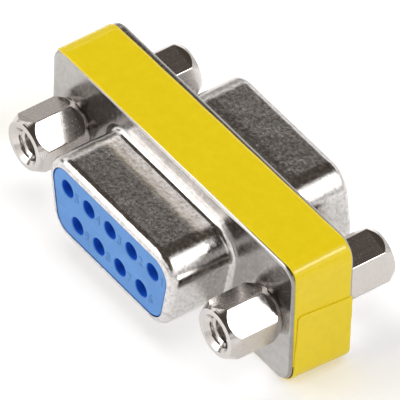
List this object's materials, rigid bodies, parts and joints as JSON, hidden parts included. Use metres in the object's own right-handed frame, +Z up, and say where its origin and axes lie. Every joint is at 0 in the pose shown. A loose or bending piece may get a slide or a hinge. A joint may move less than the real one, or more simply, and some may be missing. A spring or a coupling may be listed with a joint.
{
  "type": "d-sub gender changer",
  "caption": "Slim D-shaped serial adapter: a numbered socket face in a plated shell on both sides, tapped hexagonal posts beside them and a yellow band round the body.",
  "frame": {"origin": "centre of the footprint on the resting face, the lower long edge of the middle band", "axes": "+X along the long side, to the right seen from the numbered front face; -Y out of the front socket face with the wide row on top; +Y out of the rear socket face; +Z up"},
  "size_m": [0.0317, 0.0174, 0.0123],
  "materials": {
    "plated_sheet": "bright tin or nickel plated sheet steel with a fine speckle",
    "blue_moulding": "cornflower blue glass-filled moulding",
    "plated_post": "nickel plated, turned and polished",
    "yellow_label": "warm yellow film, slightly glossy",
    "contact_metal": "flash gold on copper alloy"
  },
  "bodies": {
    "root": {"front_housing": "plated_sheet", "rear_housing": "plated_sheet", "front_insulator": "blue_moulding", "rear_insulator": "blue_moulding", "jack_post_left": "plated_post", "jack_post_right": "plated_post", "jack_nut_left": "plated_post", "jack_nut_right": "plated_post", "label_tape": "yellow_label", "contact_1": "contact_metal", "contact_2": "contact_metal", "contact_3": "contact_metal", "contact_4": "contact_metal", "contact_5": "contact_metal", "contact_6": "contact_metal", "contact_7": "contact_metal", "contact_8": "contact_metal", "contact_9": "contact_metal"}
  },
  "joints": []
}
